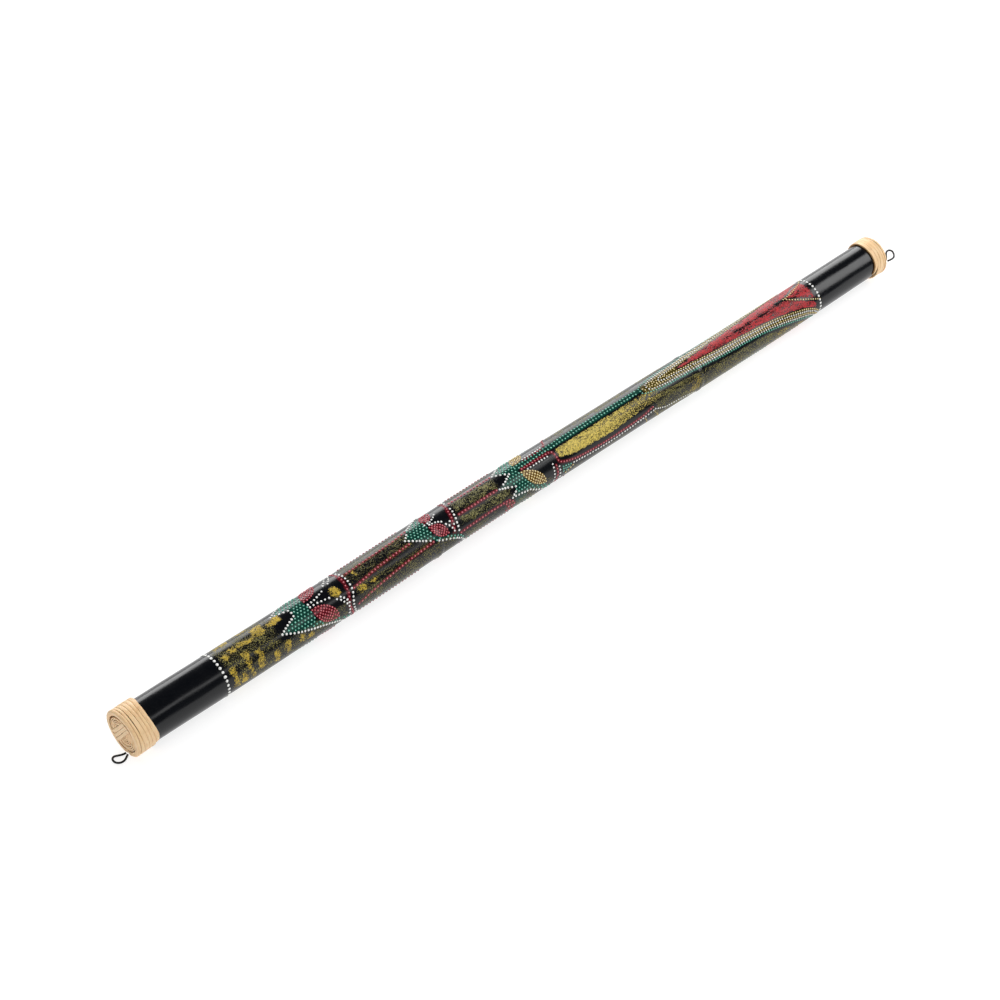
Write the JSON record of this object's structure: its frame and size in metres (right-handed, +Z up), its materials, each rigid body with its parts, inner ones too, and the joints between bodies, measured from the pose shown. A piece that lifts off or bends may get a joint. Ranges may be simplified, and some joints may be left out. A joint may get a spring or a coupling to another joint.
{
  "type": "rainstick",
  "caption": "Long lacquered bamboo rattle with painted dot patterns, pegs and loose pebbles inside, rattan-wrapped closed ends and a cord loop at each end.",
  "frame": {"origin": "middle of the stick's length, on the surface it lies on, straight below its axis", "axes": "+X along the stick from its thick end to its thin end, +Z up from the surface, +Y to the left of someone looking along +X"},
  "size_m": [1.2392, 0.0566, 0.0566],
  "materials": {
    "lacquered_bamboo": "black lacquer on bamboo, satin gloss",
    "rattan": "split rattan peel, clear varnish",
    "plug_wood": "raw softwood",
    "peg_wood": "raw split bamboo",
    "cord": "waxed cotton cord",
    "pebble": "river pebble, matt",
    "paint_white": "raised dots of acrylic paint",
    "paint_green": "raised dots of acrylic paint",
    "paint_red": "raised dots of acrylic paint",
    "paint_yellow": "raised dots of acrylic paint"
  },
  "bodies": {
    "stick": {"bamboo_tube": "lacquered_bamboo", "peg_01": "peg_wood", "peg_02": "peg_wood", "peg_03": "peg_wood", "peg_04": "peg_wood", "peg_05": "peg_wood", "peg_06": "peg_wood", "peg_07": "peg_wood", "peg_08": "peg_wood", "peg_09": "peg_wood", "peg_10": "peg_wood", "peg_11": "peg_wood", "peg_12": "peg_wood", "peg_13": "peg_wood", "peg_14": "peg_wood", "peg_15": "peg_wood", "peg_16": "peg_wood", "peg_17": "peg_wood", "peg_18": "peg_wood", "peg_19": "peg_wood", "peg_20": "peg_wood", "peg_21": "peg_wood", "peg_22": "peg_wood", "peg_23": "peg_wood", "peg_24": "peg_wood", "near_end_plug": "plug_wood", "near_rim_strip": "rattan", "near_wound_strip": "rattan", "near_face_coil": "rattan", "near_cross_strip_1": "rattan", "near_cross_strip_2": "rattan", "near_cross_strip_3": "rattan", "near_cord_knot": "cord", "far_end_plug": "plug_wood", "far_rim_strip": "rattan", "far_wound_strip": "rattan", "far_face_coil": "rattan", "far_cross_strip_1": "rattan", "far_cross_strip_2": "rattan", "far_cross_strip_3": "rattan", "far_cord_knot": "cord"},
    "pebble_fill": {"pebble_1": "pebble", "pebble_2": "pebble", "pebble_3": "pebble", "pebble_4": "pebble", "pebble_5": "pebble", "pebble_6": "pebble", "pebble_7": "pebble", "pebble_8": "pebble"},
    "near_loop": {"near_cord_loop": "cord"},
    "far_loop": {"far_cord_loop": "cord"}
  },
  "joints": [
    {"name": "pebble_slide", "type": "slide", "parent": "stick", "child": "pebble_fill", "axis": [1, 0, 0], "range_m": [0, 1.1]},
    {"name": "near_loop_swing", "type": "hinge", "parent": "stick", "child": "near_loop", "pos_m": [-0.6015, -0.0046, 0.002], "axis": [0, 1, 0], "range_deg": [0, 85]},
    {"name": "far_loop_swing", "type": "hinge", "parent": "stick", "child": "far_loop", "pos_m": [0.6015, -0.0239, 0.0301], "axis": [0, -1, 0], "range_deg": [-80, 80]}
  ]
}
